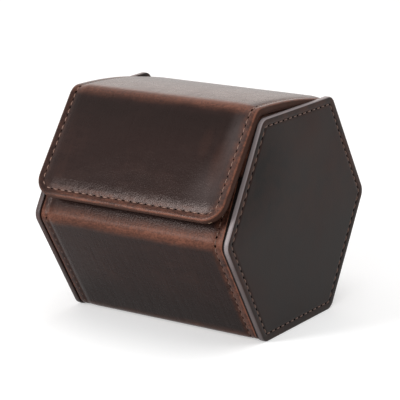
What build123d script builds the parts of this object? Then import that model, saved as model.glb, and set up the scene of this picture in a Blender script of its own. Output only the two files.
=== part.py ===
from build123d import *

import os
from math import asin, atan2, cos, degrees, radians, sin, sqrt

# A hexagonal leather case for one watch, lying on one flat side.
# +X runs along the case, -Y is the front, +Z is up, and z = 0 is the table.
# Lengths are in millimetres, angles in degrees. Angles in the cross-section turn from +Y to +Z.

# --- The case ----------------------------------------------------------------------------
across_flats = 94.0  # end panels, from the table to their top edge
case_length = 97.6  # over both end panels
corner_radius = 5.0  # corners of the end panels
bend_radius = 5.5  # outside bends of the body's leather
body_inset = 0.4  # body's faces inside the edges of the end panels

leather_t = 1.4
board_t = 2.0
lining_t = 0.8
end_board_t = 1.0

lip_height = 30.0  # lip, from the front middle edge up the upper front face
board_fold_gap = 0.6  # boards stop short of each bend

# --- The flap ----------------------------------------------------------------------------
flap_rise = 4.3  # crest of the flap above the end panels
crest_setback = 2.6  # crest behind the end panels' top front corner
flap_crown_radius = 227.0  # lengthwise bow of the flap's top
flap_slope = 54.1  # front panel below the horizontal
flap_shortfall = 8.5  # straight part of the front panel, shorter than a side of the end panel
flap_corner_radius = 9.0
crease_radius = 7.0
crease_board_gap = 2.0  # boards stop short of the crease
flap_board_t = 1.2
flap_hem = 4.5  # turned-in edge round the flap's boards
side_gap = 0.3  # flap to each end panel
seat_gap = 0.3  # flap to what it closes on

# --- The hinge ---------------------------------------------------------------------------
hinge_bend_radius = 3.0
hinge_leg = 4.0  # hinge leather on each side of its bend

# --- Rails beside the opening ------------------------------------------------------------
rail_width = 3.0
rail_t = 4.0

# --- The catch ---------------------------------------------------------------------------
catch_length = 60.0
catch_width = 12.0
catch_drop = 2.0  # catch below the top edge of the lip
catch_cover_t = 0.8
magnet_diameter = 8.0
magnet_t = 1.2
magnet_spacing = 40.0

# --- The cushion -------------------------------------------------------------------------
cushion_end_gap = 1.4  # cushion to each rail
cushion_width = 54.0
cushion_height = 42.0
cushion_corner = 16.0
cushion_cover_t = 1.2
cushion_cap_t = 2.0
cushion_gap = 0.3  # cushion above the bottom lining

# --- Worked out from the sizes above -----------------------------------------------------
middle = across_flats / 2
body = middle - body_inset  # from the middle line to the body leather's faces
board_face = body - leather_t
lining_face = board_face - board_t
inside = lining_face - lining_t
body_length = case_length - 2 * (leather_t + end_board_t)
flap_width = body_length - 2 * side_gap
flap_t = leather_t + flap_board_t + lining_t
edge_radius = leather_t / 2  # burnished edges are rounded over half the leather
cushion_length = body_length - 2 * (rail_width + cushion_end_gap)

# Directions that the body's five faces look in.
upper_back_angle = 30
upper_front_angle = 150
lower_front_angle = 210
bottom_angle = 270
lower_back_angle = 330


def half_side(apothem):
    """Half the side of a hexagon of this apothem."""
    return apothem / sqrt(3)


def face_plane(angle, apothem):
    """Plane on one side of a hexagon about the middle line, with local x along the case."""
    normal = (0, cos(radians(angle)), sin(radians(angle)))
    origin = (0, apothem * normal[1], middle + apothem * normal[2])
    return Plane(origin=origin, x_dir=(1, 0, 0), z_dir=normal)


def face_point(angle, apothem, along):
    """Cross-section point on a hexagon's side, this far along it as seen in face_plane."""
    c, s = cos(radians(angle)), sin(radians(angle))
    return (apothem * c + along * s, middle + apothem * s - along * c)


def polar_point(centre, radius, angle):
    """Cross-section point at this distance and angle from a centre."""
    return (centre[0] + radius * cos(radians(angle)), centre[1] + radius * sin(radians(angle)))


def cross_section(x):
    """Plane across the case at x, with local x and y along +Y and +Z."""
    return Plane.YZ.offset(x)


def hexagon(apothem, corner):
    """Hexagon about the middle line, as a cross-section sketch."""
    with BuildSketch() as shape:
        with Locations((0, middle)):
            RegularPolygon(apothem, 6, major_radius=False)
        fillet(shape.vertices(), radius=corner)
    return shape.sketch


def polygon(*points):
    """Closed outline with straight sides, as a cross-section sketch."""
    with BuildSketch() as shape:
        with BuildLine():
            Polyline(*points, close=True)
        make_face()
    return shape.sketch


def band(centre, inner, outer, start, end):
    """Strip between two arcs about one centre, as a cross-section sketch."""
    with BuildSketch() as shape:
        with BuildLine():
            CenterArc(centre, outer, start, end - start)
            CenterArc(centre, inner, start, end - start)
            Line(polar_point(centre, inner, start), polar_point(centre, outer, start))
            Line(polar_point(centre, inner, end), polar_point(centre, outer, end))
        make_face()
    return shape.sketch


def finish(builder, label):
    """Names a finished piece and writes it out."""
    builder.part.label = label
    export_step(builder.part, f"parts/{label}.step")


def straight_piece(label, outline, half_length):
    """Makes a piece with one cross-section, centred on the case's middle."""
    with BuildPart() as piece:
        with BuildSketch(cross_section(-half_length)):
            add(outline)
        extrude(amount=2 * half_length)
    finish(piece, label)


# Flap: its crest is where the bowed top meets the crease, and all three stretches are tangent.
flap_front_length = 2 * half_side(middle) - flap_shortfall
crest_y = -half_side(middle) + crest_setback
crest_z = across_flats + flap_rise
crown_centre = (crest_y, crest_z - flap_crown_radius)
crease_centre = (crest_y, crest_z - crease_radius)
front_normal = 90 + flap_slope
front_top = polar_point(crease_centre, crease_radius, front_normal)

# Hinge: its bend is tangent to the flap's top and to the upper back face.
back_normal_y, back_normal_z = cos(radians(upper_back_angle)), sin(radians(upper_back_angle))
crown_to_back = crown_centre[0] * back_normal_y + (crown_centre[1] - middle) * back_normal_z
hinge_reach = body - hinge_bend_radius - crown_to_back
hinge_climb = sqrt((flap_crown_radius - hinge_bend_radius) ** 2 - hinge_reach**2)
hinge_centre = (
    crown_centre[0] + hinge_reach * back_normal_y - hinge_climb * back_normal_z,
    crown_centre[1] + hinge_reach * back_normal_z + hinge_climb * back_normal_y,
)
hinge_top_angle = degrees(atan2(hinge_centre[1] - crown_centre[1], hinge_centre[0] - crown_centre[0]))
hinge_along = hinge_centre[0] * back_normal_z - (hinge_centre[1] - middle) * back_normal_y
flap_end_angle = hinge_top_angle + degrees(hinge_leg / flap_crown_radius)
back_end = hinge_along + hinge_leg  # where the body's layers stop on the upper back face
lip_end = lip_height - half_side(body)  # where they stop on the upper front face

hinge_axis = polar_point(
    hinge_centre, hinge_bend_radius - leather_t / 2, (upper_back_angle + hinge_top_angle) / 2
)
crease_axis = polar_point(crease_centre, crease_radius - leather_t / 2, 90 + flap_slope / 2)

os.makedirs("parts", exist_ok=True)

# --- End panels --------------------------------------------------------------------------
# The rails' region is what lies inside the upper front face and under the closed flap.
under_flap = flap_crown_radius - flap_t - seat_gap
far = 2 * across_flats


def under_closed_flap(top_radius, apothem, corner):
    """Region under an arc below the flap's top and inside a hexagon's upper front side."""
    front_side = polygon(
        face_point(upper_front_angle, apothem, -far),
        face_point(upper_front_angle, apothem, far),
        face_point(upper_front_angle, -far, far),
        face_point(upper_front_angle, -far, -far),
    )
    with BuildSketch() as shape:
        with Locations(crown_centre):
            Circle(top_radius)
        add(front_side, mode=Mode.INTERSECT)
        fillet(shape.vertices().sort_by(Axis.Y)[-1], radius=corner)
    return shape.sketch


panel_outline = hexagon(middle, corner_radius)
inside_outline = hexagon(inside, lining_t)
rail_inside = under_closed_flap(under_flap - rail_t, inside, crease_radius - flap_t)

for side, sign in (("left", -1), ("right", 1)):
    outer_face = sign * case_length / 2
    leather_inner = sign * (case_length / 2 - leather_t)
    board_inner = sign * body_length / 2

    with BuildPart() as end_leather:
        with BuildSketch(cross_section(outer_face)):
            add(panel_outline)
        extrude(amount=-sign * leather_t)
        outside = end_leather.faces().sort_by(Axis.X)[-1 if sign > 0 else 0]
        fillet(outside.edges(), radius=edge_radius)
    finish(end_leather, f"{side}_end_leather")

    with BuildPart() as end_board:
        with BuildSketch(cross_section(leather_inner)):
            add(panel_outline)
        extrude(amount=-sign * end_board_t)
    finish(end_board, f"{side}_end_board")

    with BuildPart() as end_lining:
        with BuildSketch(cross_section(board_inner)):
            add(inside_outline)
            add(rail_inside, mode=Mode.INTERSECT)
        extrude(amount=-sign * lining_t)
    finish(end_lining, f"{side}_end_lining")

# --- Body --------------------------------------------------------------------------------
# The opening runs from the lip's top edge, over the top, to the hinge.
opening = polygon(
    face_point(upper_front_angle, inside / 2, lip_end),
    face_point(upper_front_angle, far, lip_end),
    (-far, far),
    (far, far),
    face_point(upper_back_angle, far, back_end),
    face_point(upper_back_angle, inside / 2, back_end),
)


def body_ring(outer, outer_bend, thickness):
    """Cross-section of one layer bent round the body's five faces, open at the top."""
    outer_outline = hexagon(outer, outer_bend)
    inner_outline = hexagon(outer - thickness, outer_bend - thickness)
    with BuildSketch() as ring:
        add(outer_outline)
        add(inner_outline, mode=Mode.SUBTRACT)
        add(opening, mode=Mode.SUBTRACT)
    return ring.sketch


def body_board(label, face, start, end):
    """One stiffening board on the back of the body's leather."""
    with BuildPart() as board:
        with BuildSketch(face_plane(face, board_face)):
            with Locations((0, (start + end) / 2)):
                Rectangle(body_length, end - start)
        extrude(amount=-board_t)
    finish(board, label)


# At the lip the leather turns over the edge of the board and the lining.
lip_board_end = lip_end - leather_t
lip_corner = Vector(0, *face_point(upper_front_angle, body, lip_end))
lip_hem = polygon(
    face_point(upper_front_angle, board_face, lip_board_end),
    face_point(upper_front_angle, board_face, lip_end),
    face_point(upper_front_angle, inside, lip_end),
    face_point(upper_front_angle, inside, lip_board_end),
)
leather_ring = body_ring(body, bend_radius, leather_t)
with BuildPart() as body_leather:
    with BuildSketch(cross_section(-body_length / 2)):
        add(leather_ring)
        add(lip_hem)
    extrude(amount=body_length)
    lip_edge = body_leather.edges().filter_by(Axis.X).sort_by(
        lambda edge: (edge.center() - lip_corner).length
    )[0]
    fillet(lip_edge, radius=edge_radius)
finish(body_leather, "body_leather")

lining_ring = body_ring(lining_face, 2 * lining_t, lining_t)
with BuildPart() as body_lining:
    with BuildSketch(cross_section(-body_length / 2)):
        add(lining_ring)
        add(lip_hem, mode=Mode.SUBTRACT)
    extrude(amount=body_length)
finish(body_lining, "body_lining")

board_reach = half_side(board_face) - half_side(bend_radius - leather_t) - board_fold_gap
body_board("lip_board", upper_front_angle, -board_reach, lip_board_end)
body_board("upper_back_board", upper_back_angle, back_end, board_reach)
for label, face in (
    ("lower_front_board", lower_front_angle),
    ("bottom_board", bottom_angle),
    ("lower_back_board", lower_back_angle),
):
    body_board(label, face, -board_reach, board_reach)

# --- Rails -------------------------------------------------------------------------------
# A leather-covered rail on each end panel continues the body's edge and carries the flap.
rail_outer = under_closed_flap(under_flap, body, crease_radius)
rail_stop = flap_end_angle + degrees(seat_gap / under_flap)
rail_window = polygon(
    face_point(upper_front_angle, inside / 2, lip_end),
    face_point(upper_front_angle, far, lip_end),
    (-far, far),
    polar_point(crown_centre, 2 * flap_crown_radius, rail_stop),
    polar_point(crown_centre, flap_crown_radius - 2 * rail_t - flap_t, rail_stop),
)
for side, sign in (("left", -1), ("right", 1)):
    with BuildPart() as rail:
        with BuildSketch(cross_section(sign * body_length / 2)):
            add(rail_outer)
            add(rail_inside, mode=Mode.SUBTRACT)
            add(rail_window, mode=Mode.INTERSECT)
        extrude(amount=-sign * rail_width)
    finish(rail, f"{side}_rail")

# --- Hinge -------------------------------------------------------------------------------
flap_half_width = flap_width / 2
hinge_bend = band(
    hinge_centre, hinge_bend_radius - leather_t, hinge_bend_radius, upper_back_angle, hinge_top_angle
)
hinge_top_leg = band(
    crown_centre, flap_crown_radius - leather_t, flap_crown_radius, hinge_top_angle, flap_end_angle
)
hinge_back_leg = polygon(
    face_point(upper_back_angle, body, hinge_along),
    face_point(upper_back_angle, body, back_end),
    face_point(upper_back_angle, board_face, back_end),
    face_point(upper_back_angle, board_face, hinge_along),
)
with BuildPart() as hinge_leather:
    with BuildSketch(cross_section(-flap_half_width)):
        add(hinge_bend)
        add(hinge_top_leg)
        add(hinge_back_leg)
    extrude(amount=flap_width)
finish(hinge_leather, "hinge_leather")

lining_bridge = polygon(
    polar_point(crown_centre, flap_crown_radius - flap_t, flap_end_angle),
    polar_point(crown_centre, flap_crown_radius - flap_t + lining_t, flap_end_angle),
    face_point(upper_back_angle, lining_face, back_end),
    face_point(upper_back_angle, inside, back_end),
)
straight_piece("hinge_lining", lining_bridge, flap_half_width)

# --- Flap, top panel ---------------------------------------------------------------------
# Each leather piece is a skin with a turned-in hem round the pocket that takes the board.
crown_board_top = flap_crown_radius - leather_t
crown_lining_top = crown_board_top - flap_board_t
board_half_width = flap_half_width - flap_hem
hem_angle = degrees(flap_hem / flap_crown_radius)
crease_gap_angle = degrees(crease_board_gap / flap_crown_radius)


def outer_arcs(builder, radius):
    """The side edges of a bent piece that lie on its outside."""
    arcs = builder.edges().filter_by(GeomType.CIRCLE)
    return arcs.filter_by(lambda arc: abs(arc.radius - radius) < edge_radius)


top_skin = band(crown_centre, crown_lining_top, flap_crown_radius, flap_end_angle, 90)
top_pocket = band(crown_centre, crown_lining_top, crown_board_top, flap_end_angle + hem_angle, 90)
with BuildPart() as flap_top_leather:
    with BuildSketch(cross_section(-flap_half_width)):
        add(top_skin)
    extrude(amount=flap_width)
    with BuildSketch(cross_section(-board_half_width)):
        add(top_pocket)
    extrude(amount=2 * board_half_width, mode=Mode.SUBTRACT)
    fillet(outer_arcs(flap_top_leather, flap_crown_radius), radius=edge_radius)
finish(flap_top_leather, "flap_top_leather")

top_board = band(
    crown_centre,
    crown_lining_top,
    crown_board_top,
    flap_end_angle + hem_angle,
    90 - crease_gap_angle,
)
top_lining = band(crown_centre, flap_crown_radius - flap_t, crown_lining_top, flap_end_angle, 90)
straight_piece("flap_top_board", top_board, board_half_width)
straight_piece("flap_top_lining", top_lining, flap_half_width)

# --- Flap, crease ------------------------------------------------------------------------
crease_skin = band(crease_centre, crease_radius - leather_t, crease_radius, 90, front_normal)
crease_lining = band(
    crease_centre, crease_radius - flap_t, crease_radius - flap_t + lining_t, 90, front_normal
)
with BuildPart() as flap_crease_leather:
    with BuildSketch(cross_section(-flap_half_width)):
        add(crease_skin)
    extrude(amount=flap_width)
    fillet(outer_arcs(flap_crease_leather, crease_radius), radius=edge_radius)
finish(flap_crease_leather, "flap_crease_leather")

straight_piece("flap_crease_lining", crease_lining, flap_half_width)

# --- Flap, front panel -------------------------------------------------------------------


def front_plane(depth):
    """Plane on the front panel, this far below its outside, with the crease at local y = 0."""
    normal = (0, cos(radians(front_normal)), sin(radians(front_normal)))
    origin = (0, front_top[0] - depth * normal[1], front_top[1] - depth * normal[2])
    return Plane(origin=origin, x_dir=(1, 0, 0), z_dir=normal)


def front_outline(inset, top_gap, corner):
    """Front panel's outline with its two lower corners rounded."""
    with BuildSketch() as shape:
        with Locations((0, -top_gap)):
            Rectangle(
                flap_width - 2 * inset,
                flap_front_length - inset - top_gap,
                align=(Align.CENTER, Align.MAX),
            )
        fillet(shape.vertices().group_by(Axis.Y)[0], radius=corner)
    return shape.sketch


panel_shape = front_outline(0, 0, flap_corner_radius)
pocket_shape = front_outline(flap_hem, 0, flap_corner_radius - flap_hem)
front_board_shape = front_outline(flap_hem, crease_board_gap, flap_corner_radius - flap_hem)

# Magnets: a row across the front panel, over the middle of the catch.
catch_top = lip_end - catch_drop
catch_middle = catch_top - catch_width / 2
catch_point = face_point(upper_front_angle, body, catch_middle)
panel_down = (cos(radians(front_normal + 90)), sin(radians(front_normal + 90)))
magnet_drop = (catch_point[0] - front_top[0]) * panel_down[0] + (
    catch_point[1] - front_top[1]
) * panel_down[1]

with BuildPart() as flap_front_leather:
    with BuildSketch(front_plane(0)):
        add(panel_shape)
    extrude(amount=-(leather_t + flap_board_t))
    outside = flap_front_leather.faces().sort_by(Axis((0, 0, 0), front_plane(0).z_dir))[-1]
    fillet(outside.edges().sort_by(Axis.Z)[:-1], radius=edge_radius)
    with BuildSketch(front_plane(leather_t)):
        add(pocket_shape)
    extrude(amount=-flap_board_t, mode=Mode.SUBTRACT)
finish(flap_front_leather, "flap_front_leather")

with BuildPart() as flap_front_board:
    with BuildSketch(front_plane(leather_t)):
        add(front_board_shape)
        with Locations((0, -magnet_drop)):
            with GridLocations(magnet_spacing, 1, 2, 1):
                Circle(magnet_diameter / 2, mode=Mode.SUBTRACT)
    extrude(amount=-flap_board_t)
finish(flap_front_board, "flap_front_board")

with BuildPart() as flap_magnets:
    with BuildSketch(front_plane(leather_t)):
        with Locations((0, -magnet_drop)):
            with GridLocations(magnet_spacing, 1, 2, 1):
                Circle(magnet_diameter / 2)
    extrude(amount=-flap_board_t)
finish(flap_magnets, "flap_magnets")

with BuildPart() as flap_front_lining:
    with BuildSketch(front_plane(leather_t + flap_board_t)):
        add(panel_shape)
    extrude(amount=-lining_t)
finish(flap_front_lining, "flap_front_lining")

# --- Catch -------------------------------------------------------------------------------
# A wedge on the lip fills the space under the sloping front panel and holds two magnets.


def under_front_panel(gap, along):
    """Cross-section point on the lip's face normal at this place, this far under the panel."""
    foot = face_point(upper_front_angle, body, along)
    n = (cos(radians(front_normal)), sin(radians(front_normal)))
    rise = (cos(radians(upper_front_angle)), sin(radians(upper_front_angle)))
    below = (front_top[0] - foot[0]) * n[0] + (front_top[1] - foot[1]) * n[1] - flap_t - gap
    height = below / (rise[0] * n[0] + rise[1] * n[1])
    return (foot[0] + height * rise[0], foot[1] + height * rise[1])


catch_low, catch_high = catch_top - catch_width, catch_top
cover_gap = seat_gap + catch_cover_t
wedge = polygon(
    face_point(upper_front_angle, body, catch_low),
    face_point(upper_front_angle, body, catch_high),
    under_front_panel(cover_gap, catch_high),
    under_front_panel(cover_gap, catch_low),
)
wedge_cover = polygon(
    under_front_panel(cover_gap, catch_low),
    under_front_panel(cover_gap, catch_high),
    under_front_panel(seat_gap, catch_high),
    under_front_panel(seat_gap, catch_low),
)
catch_plane = front_plane(flap_t + cover_gap)

with BuildPart() as catch_block:
    with BuildSketch(cross_section(-catch_length / 2)):
        add(wedge)
    extrude(amount=catch_length)
    with BuildSketch(catch_plane):
        with Locations((0, -magnet_drop)):
            with GridLocations(magnet_spacing, 1, 2, 1):
                Circle(magnet_diameter / 2)
    extrude(amount=-magnet_t, mode=Mode.SUBTRACT)
finish(catch_block, "catch_block")

with BuildPart() as catch_magnets:
    with BuildSketch(catch_plane):
        with Locations((0, -magnet_drop)):
            with GridLocations(magnet_spacing, 1, 2, 1):
                Circle(magnet_diameter / 2)
    extrude(amount=-magnet_t)
finish(catch_magnets, "catch_magnets")

straight_piece("catch_cover", wedge_cover, catch_length / 2)

# --- Cushion -----------------------------------------------------------------------------
cushion_bottom = middle - inside + cushion_gap
cushion_middle = cushion_bottom + cushion_height / 2


def cushion_outline(inset):
    """Cushion's rounded cross-section, inside its outside by this much."""
    with BuildSketch() as shape:
        with Locations((0, cushion_middle)):
            RectangleRounded(
                cushion_width - 2 * inset, cushion_height - 2 * inset, cushion_corner - inset
            )
    return shape.sketch


core_length = cushion_length - 2 * cushion_cap_t
cushion_outside = cushion_outline(0)
cushion_foam = cushion_outline(cushion_cover_t)
with BuildPart() as cushion_cover:
    with BuildSketch(cross_section(-core_length / 2)):
        add(cushion_outside)
        add(cushion_foam, mode=Mode.SUBTRACT)
    extrude(amount=core_length)
finish(cushion_cover, "cushion_cover")

straight_piece("cushion_core", cushion_foam, core_length / 2)

for side, sign in (("left", -1), ("right", 1)):
    with BuildPart() as cushion_cap:
        with BuildSketch(cross_section(sign * core_length / 2)):
            add(cushion_outside)
        extrude(amount=sign * cushion_cap_t)
        end_face = cushion_cap.faces().sort_by(Axis.X)[-1 if sign > 0 else 0]
        fillet(end_face.edges(), radius=cushion_cap_t / 2)
    finish(cushion_cap, f"{side}_cushion_cap")

# Joint lines and resting faces, for the record.
print(f"hinge axis y {hinge_axis[0]:.3f} z {hinge_axis[1]:.3f}")
print(f"crease axis y {crease_axis[0]:.3f} z {crease_axis[1]:.3f}")
print(f"body bottom z {middle - body:.3f}, cushion from {cushion_bottom:.3f}")
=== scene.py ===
"""Hexagonal leather watch case: its looks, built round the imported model."""

import contextlib
import math

import bpy
from bpy.props import FloatProperty, FloatVectorProperty, IntProperty, PointerProperty
from mathutils import Matrix, Vector


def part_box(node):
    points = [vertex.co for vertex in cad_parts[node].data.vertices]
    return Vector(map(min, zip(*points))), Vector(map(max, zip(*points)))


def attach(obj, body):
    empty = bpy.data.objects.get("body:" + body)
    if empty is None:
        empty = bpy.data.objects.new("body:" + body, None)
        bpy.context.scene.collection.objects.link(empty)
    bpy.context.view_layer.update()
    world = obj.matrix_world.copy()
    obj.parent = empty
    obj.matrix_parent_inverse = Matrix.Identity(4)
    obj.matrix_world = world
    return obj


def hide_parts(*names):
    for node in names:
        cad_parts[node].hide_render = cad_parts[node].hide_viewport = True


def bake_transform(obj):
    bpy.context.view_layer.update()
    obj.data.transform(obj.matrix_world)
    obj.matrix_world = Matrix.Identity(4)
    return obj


bl_info = {
    "name": "Hexagonal watch case", "version": (1, 0, 0), "blender": (4, 5, 0),
    "location": "View3D > Sidebar > Watch Case",
    "description": "Leather, stitching, lining, cushion and stage of a hexagonal watch case",
    "category": "Add Mesh",
}

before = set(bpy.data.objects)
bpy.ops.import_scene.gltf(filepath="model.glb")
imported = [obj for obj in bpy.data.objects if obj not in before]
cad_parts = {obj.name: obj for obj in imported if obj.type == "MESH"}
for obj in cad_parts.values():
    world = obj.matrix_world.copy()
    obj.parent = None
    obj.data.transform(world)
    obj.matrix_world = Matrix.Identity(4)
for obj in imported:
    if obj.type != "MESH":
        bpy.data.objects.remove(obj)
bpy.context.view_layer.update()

# +X runs along the case, -Y is the front and +Z is up. Lengths are in metres, and angles in the
# cross-section turn from +Y to +Z.
MM = 0.001
TOUCH = 0.01 * MM  # two points closer than this are one
ALMOST = 0.999999  # share of a leg that still lies on it

CASE_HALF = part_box("right_end_leather")[1].x
BODY_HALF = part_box("body_leather")[1].x
FLAP_SPREAD = 0.8 * MM  # the worn rim of the flap's leather is this much wider than the CAD's
FLAP_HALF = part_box("flap_top_leather")[1].x + FLAP_SPREAD
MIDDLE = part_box("right_end_leather")[1].z / 2
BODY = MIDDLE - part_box("body_leather")[0].z
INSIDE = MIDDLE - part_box("body_lining")[0].z - (
    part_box("right_end_lining")[1].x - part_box("right_end_lining")[0].x
)
CREST_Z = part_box("flap_crease_leather")[1].z
CREST_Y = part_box("flap_crease_leather")[1].y

# Directions that the body's faces look in.
UPPER_BACK = math.radians(30)
UPPER_FRONT = math.radians(150)
FOLD = math.radians(60)
QUARTER = math.pi / 2


# --- Sizes, colours and stage settings ---


def length(name, description, millimetres):
    """A length property whose default is given in millimetres."""
    return FloatProperty(
        name=name, description=description, default=millimetres * MM, min=0.0, precision=4,
        subtype="DISTANCE", unit="LENGTH",
    )


def angle(name, description, degrees):
    """An angle property whose default is given in degrees."""
    return FloatProperty(
        name=name, description=description, default=math.radians(degrees), subtype="ANGLE",
        unit="ROTATION",
    )


def colour(name, description, red, green, blue):
    """A colour property in linear light."""
    return FloatVectorProperty(
        name=name, description=description, default=(red, green, blue), min=0.0, max=1.0,
        subtype="COLOR",
    )


class CaseSizes(bpy.types.PropertyGroup):
    """Sizes of the body, the end panels and the cushion."""

    leather: length("Leather", "Thickness of the outer leather", 1.4)
    lining: length("Lining", "Thickness of the suede lining", 0.8)
    board: length("Board", "Thickness of the body's boards", 2.0)
    bend: length("Bend radius", "Outside bends of the body's leather", 5.5)
    corner: length("Corner radius", "Corners of the end panels", 5.0)
    edge: length("Edge radius", "Burnished edges of the leather", 1.0)
    lip: length("Lip height", "Lip above the front middle edge", 30.0)
    cushion_corner: length("Cushion corner", "Rounding along the cushion", 16.0)
    piping: length("Piping radius", "Piping round the cushion's ends", 0.9)


class FlapSizes(bpy.types.PropertyGroup):
    """Sizes of the flap and its leather hinge."""

    crown: length("Crown radius", "Lengthwise bow of the flap's top", 227.0)
    slope: angle("Slope", "Front panel below the horizontal", 54.1)
    crease: length("Crease radius", "Outside bend of the flap's crease", 7.0)
    shortfall: length("Shortfall", "Front panel, shorter than a side of the end panel", 7.9)
    corner: length("Corner radius", "Lower corners of the front panel", 9.0)
    board: length("Flap board", "Thickness of the flap's boards", 1.2)
    hinge: length("Hinge radius", "Outside bend of the hinge", 3.0)
    leg: length("Hinge leg", "Hinge leather on each side of its bend", 4.0)
    split: length("Split", "Where the two flap pieces meet, behind the crease", 9.0)


class StitchSizes(bpy.types.PropertyGroup):
    """Sizes of the saddle stitching."""

    pitch: length("Pitch", "From one stitch to the next", 3.7)
    thread: length("Stitch length", "Thread that shows between two holes", 2.5)
    width: length("Thread width", "Width of the thread", 0.55)
    rise: length("Rise", "Thread above the groove", 0.35)
    hole: length("Hole", "Radius of an awl hole", 0.55)
    inset: length("Row inset", "Rows inside the edges of the leather", 3.2)
    seam_inset: length("Seam inset", "Row beside the back seam", 2.0)
    body_inset: length("Body inset", "Rows inside the edges of the body's leather", 4.1)
    left_inset: length("Left inset", "Row inside the left edge of the body's leather", 3.1)


class Colours(bpy.types.PropertyGroup):
    """Colours of the finishes."""

    leather: colour("Leather", "Waxed leather", 0.0118, 0.0052, 0.0044)
    warm: colour("Warm leather", "Lighter clouds in the waxed leather", 0.025, 0.0107, 0.0082)
    rub: colour("Rub-off", "Leather where its wax is bent or rubbed away", 0.138, 0.053, 0.033)
    end: colour("End leather", "Leather of the end panels", 0.0208, 0.0172, 0.0160)
    # Painted sheen: a pale neutral colour painted onto the flap where a sheen falls.
    bloom: colour("Wax bloom", "Pale bloom of the wax", 0.120, 0.097, 0.094)
    edge: colour("Edge paint", "Painted edges of the end panels", 0.250, 0.214, 0.216)
    cut: colour("Cut edge", "Dyed cut edges of the flap", 0.040, 0.016, 0.0100)
    thread: colour("Thread", "Waxed thread", 0.198, 0.108, 0.078)
    hole: colour("Awl hole", "Shadow in the awl holes", 0.003, 0.0018, 0.0014)
    suede: colour("Suede", "Lining and cushion", 0.30, 0.20, 0.13)
    board: colour("Board", "Grey board", 0.42, 0.38, 0.32)
    foam: colour("Foam", "Cushion filling", 0.60, 0.58, 0.52)
    magnet: colour("Magnet", "Plated magnets", 0.60, 0.60, 0.62)


class StageSettings(bpy.types.PropertyGroup):
    """Camera, lamps and floor."""

    azimuth: angle("Azimuth", "Camera round from the front", 34.60)
    elevation: angle("Elevation", "Camera above the table", 15.09)
    roll: angle("Roll", "Camera about its own axis", -0.807)
    distance: length("Distance", "Camera to the middle of the case", 792.0)
    shift_right: FloatProperty(
        name="Shift right", description="Camera to its own right", default=-0.87 * MM, precision=5,
        subtype="DISTANCE", unit="LENGTH",
    )
    shift_up: FloatProperty(
        name="Shift up", description="Camera up in its own view", default=0.80 * MM, precision=5,
        subtype="DISTANCE", unit="LENGTH",
    )
    lens: FloatProperty(name="Lens", description="Focal length in millimetres", default=165.6)
    sky: FloatProperty(name="Sky", description="Strength of the room's light", default=0.55)


def sizes(group):
    """One of this add-on's groups of settings."""
    return getattr(bpy.context.scene, "watch_case_" + group)


# --- The cross-section ---


def direction(heading):
    """Unit vector in the cross-section."""
    return Vector((0, math.cos(heading), math.sin(heading)))


def outward_of(heading):
    """Unit vector out of a sheet whose section runs this way."""
    return direction(heading - QUARTER)


def face_point(facing, apothem, along):
    """Point on a hexagon's side, this far along it, anticlockwise seen from +X."""
    return Vector((0, 0, MIDDLE)) + apothem * direction(facing) + along * direction(facing + QUARTER)


def half_side(apothem):
    """Half the side of a hexagon of this apothem."""
    return apothem / math.sqrt(3)


class Section:
    """Outside line of a bent sheet: runs and bends in turn, its outside on the right."""

    def __init__(self, start, heading):
        self.legs = []
        self.end = Vector((0, start.y, start.z))
        self.heading = heading
        self.length = 0.0

    def run(self, distance):
        """Adds a straight run."""
        self.legs.append((self.length, self.end.copy(), self.heading, distance, 0.0))
        self.end += distance * direction(self.heading)
        self.length += distance
        return self

    def bend(self, radius, turn):
        """Adds a bend to the left."""
        centre = self.end - radius * outward_of(self.heading)
        self.legs.append((self.length, self.end.copy(), self.heading, radius * turn, radius))
        self.heading += turn
        self.end = centre + radius * outward_of(self.heading)
        self.length += radius * turn
        return self

    def at(self, distance):
        """Point and heading at this distance along the line, or past its ends."""
        leg = self.legs[0]
        for later in self.legs[1:]:
            if later[0] <= distance:
                leg = later
        begin, start, heading, _, radius = leg
        ahead = distance - begin
        if radius == 0.0:
            return start + ahead * direction(heading), heading
        centre = start - radius * outward_of(heading)
        heading += ahead / radius
        return centre + radius * outward_of(heading), heading

    def locate(self, point):
        """Distance along the line of the place nearest to a point."""
        best, found = 1.0, 0.0
        flat = Vector((0, point.y, point.z))
        for begin, start, heading, span, radius in self.legs:
            if radius == 0.0:
                ahead = (flat - start).dot(direction(heading))
            else:
                outwards = outward_of(heading)
                arm = flat - (start - radius * outwards)
                ahead = radius * math.atan2(arm.dot(direction(heading)), arm.dot(outwards))
            ahead = min(max(ahead, 0.0), span)
            off = (self.at(begin + ahead * ALMOST)[0] - flat).length
            if off < best:
                best, found = off, begin + ahead
        return found


def flap_angles():
    """Crown centre, hinge centre and the angle at which the flap's top meets the hinge."""
    flap = sizes("flap")
    crown = Vector((0, CREST_Y, CREST_Z - flap.crown))
    out, along = direction(UPPER_BACK), direction(UPPER_BACK + QUARTER)
    reach = BODY - flap.hinge - (crown - Vector((0, 0, MIDDLE))).dot(out)
    climb = math.sqrt((flap.crown - flap.hinge) ** 2 - reach**2)
    hinge = crown + reach * out + climb * along
    meet = math.atan2(hinge.z - crown.z, hinge.y - crown.y)
    return crown, hinge, meet


def back_seam():
    """How far up the upper back face the body's leather goes."""
    hinge = flap_angles()[1]
    up = direction(UPPER_BACK + QUARTER)
    return (hinge - Vector((0, 0, MIDDLE))).dot(up) - sizes("flap").leg


def lip_edge():
    """How far along the upper front face the lip's top edge lies."""
    return half_side(BODY) - sizes("case").lip


def body_section(apothem, radius, lip_gap=0.0):
    """Down the lip, under the body and up the back to the seam."""
    corner_gap = half_side(radius)
    first = half_side(apothem) - corner_gap - lip_edge() - lip_gap
    section = Section(face_point(UPPER_FRONT, apothem, lip_edge() + lip_gap), UPPER_FRONT + QUARTER)
    section.run(first).bend(radius, FOLD)
    for _ in range(3):
        section.run(2 * (half_side(apothem) - corner_gap)).bend(radius, FOLD)
    return section.run(half_side(apothem) - corner_gap + back_seam())


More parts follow.
